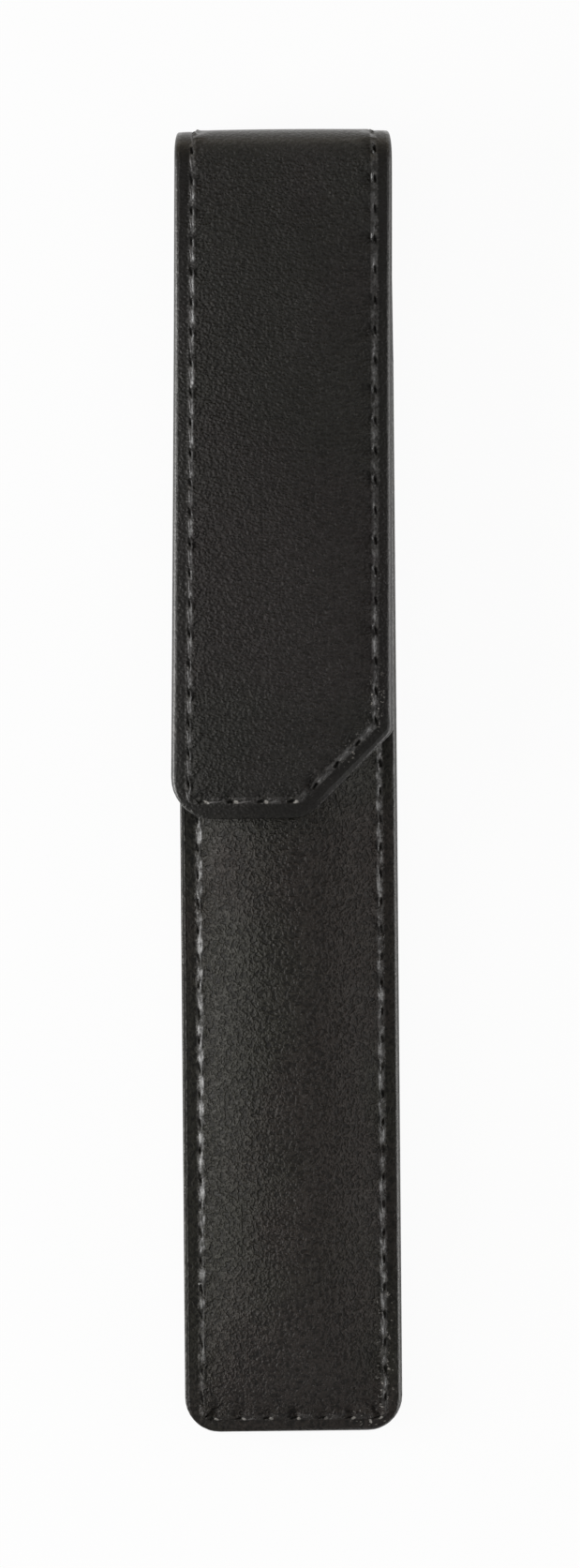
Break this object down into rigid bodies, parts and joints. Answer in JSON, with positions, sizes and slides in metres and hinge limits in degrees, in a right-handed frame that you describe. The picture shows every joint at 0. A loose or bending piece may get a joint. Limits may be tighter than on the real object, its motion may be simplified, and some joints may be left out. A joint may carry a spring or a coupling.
{
  "type": "single pen sleeve",
  "caption": "Slim leather pocket for one pen, with a long flap that folds over the top and lies down the front.",
  "frame": {"origin": "on the back's outer face, at the middle of the closed sleeve's length and of the pocket's width", "axes": "+Y along the sleeve to the fold, +Z from the back to the front, +X across to the flap's cut corner"},
  "size_m": [0.0277, 0.1601, 0.0098],
  "materials": {
    "cover_leather": "black, fine pebble grain, soft sheen, burnished round edges",
    "front_leather": "black, very fine grain, slightly brushed, burnished round edges",
    "lining": "black suede-like lining",
    "board": "bonded leather board",
    "thread": "charcoal sewing thread"
  },
  "bodies": {
    "pocket": {"back_leather": "cover_leather", "back_board": "board", "back_lining": "lining", "front_lining": "lining", "front_leather": "front_leather", "body_thread_front": "thread", "body_thread_back": "thread"},
    "fold_1": {"fold_leather_1": "cover_leather", "fold_lining_1": "lining", "fold_thread_1": "thread"},
    "fold_2": {"fold_leather_2": "cover_leather", "fold_lining_2": "lining", "fold_thread_2": "thread"},
    "fold_3": {"fold_leather_3": "cover_leather", "fold_lining_3": "lining", "fold_thread_3": "thread"},
    "flap": {"flap_leather": "cover_leather", "flap_board": "board", "flap_lining": "lining", "flap_thread_outer": "thread", "flap_thread_inner": "thread"}
  },
  "joints": [
    {"name": "fold_hinge_1", "type": "hinge", "parent": "pocket", "child": "fold_1", "pos_m": [0, 0.07702, 0.00037], "axis": [-1, 0, 0], "range_deg": [0, 45], "stiffness_Nm_per_rad": 0.001},
    {"name": "fold_hinge_2", "type": "hinge", "parent": "fold_1", "child": "fold_2", "pos_m": [0, 0.07963, 0.00298], "axis": [-1, 0, 0], "range_deg": [0, 45], "stiffness_Nm_per_rad": 0.001},
    {"name": "fold_hinge_3", "type": "hinge", "parent": "fold_2", "child": "fold_3", "pos_m": [0, 0.07963, 0.00667], "axis": [-1, 0, 0], "range_deg": [0, 45], "stiffness_Nm_per_rad": 0.001},
    {"name": "fold_hinge_4", "type": "hinge", "parent": "fold_3", "child": "flap", "pos_m": [0, 0.07702, 0.00928], "axis": [-1, 0, 0], "range_deg": [0, 45], "stiffness_Nm_per_rad": 0.001}
  ]
}
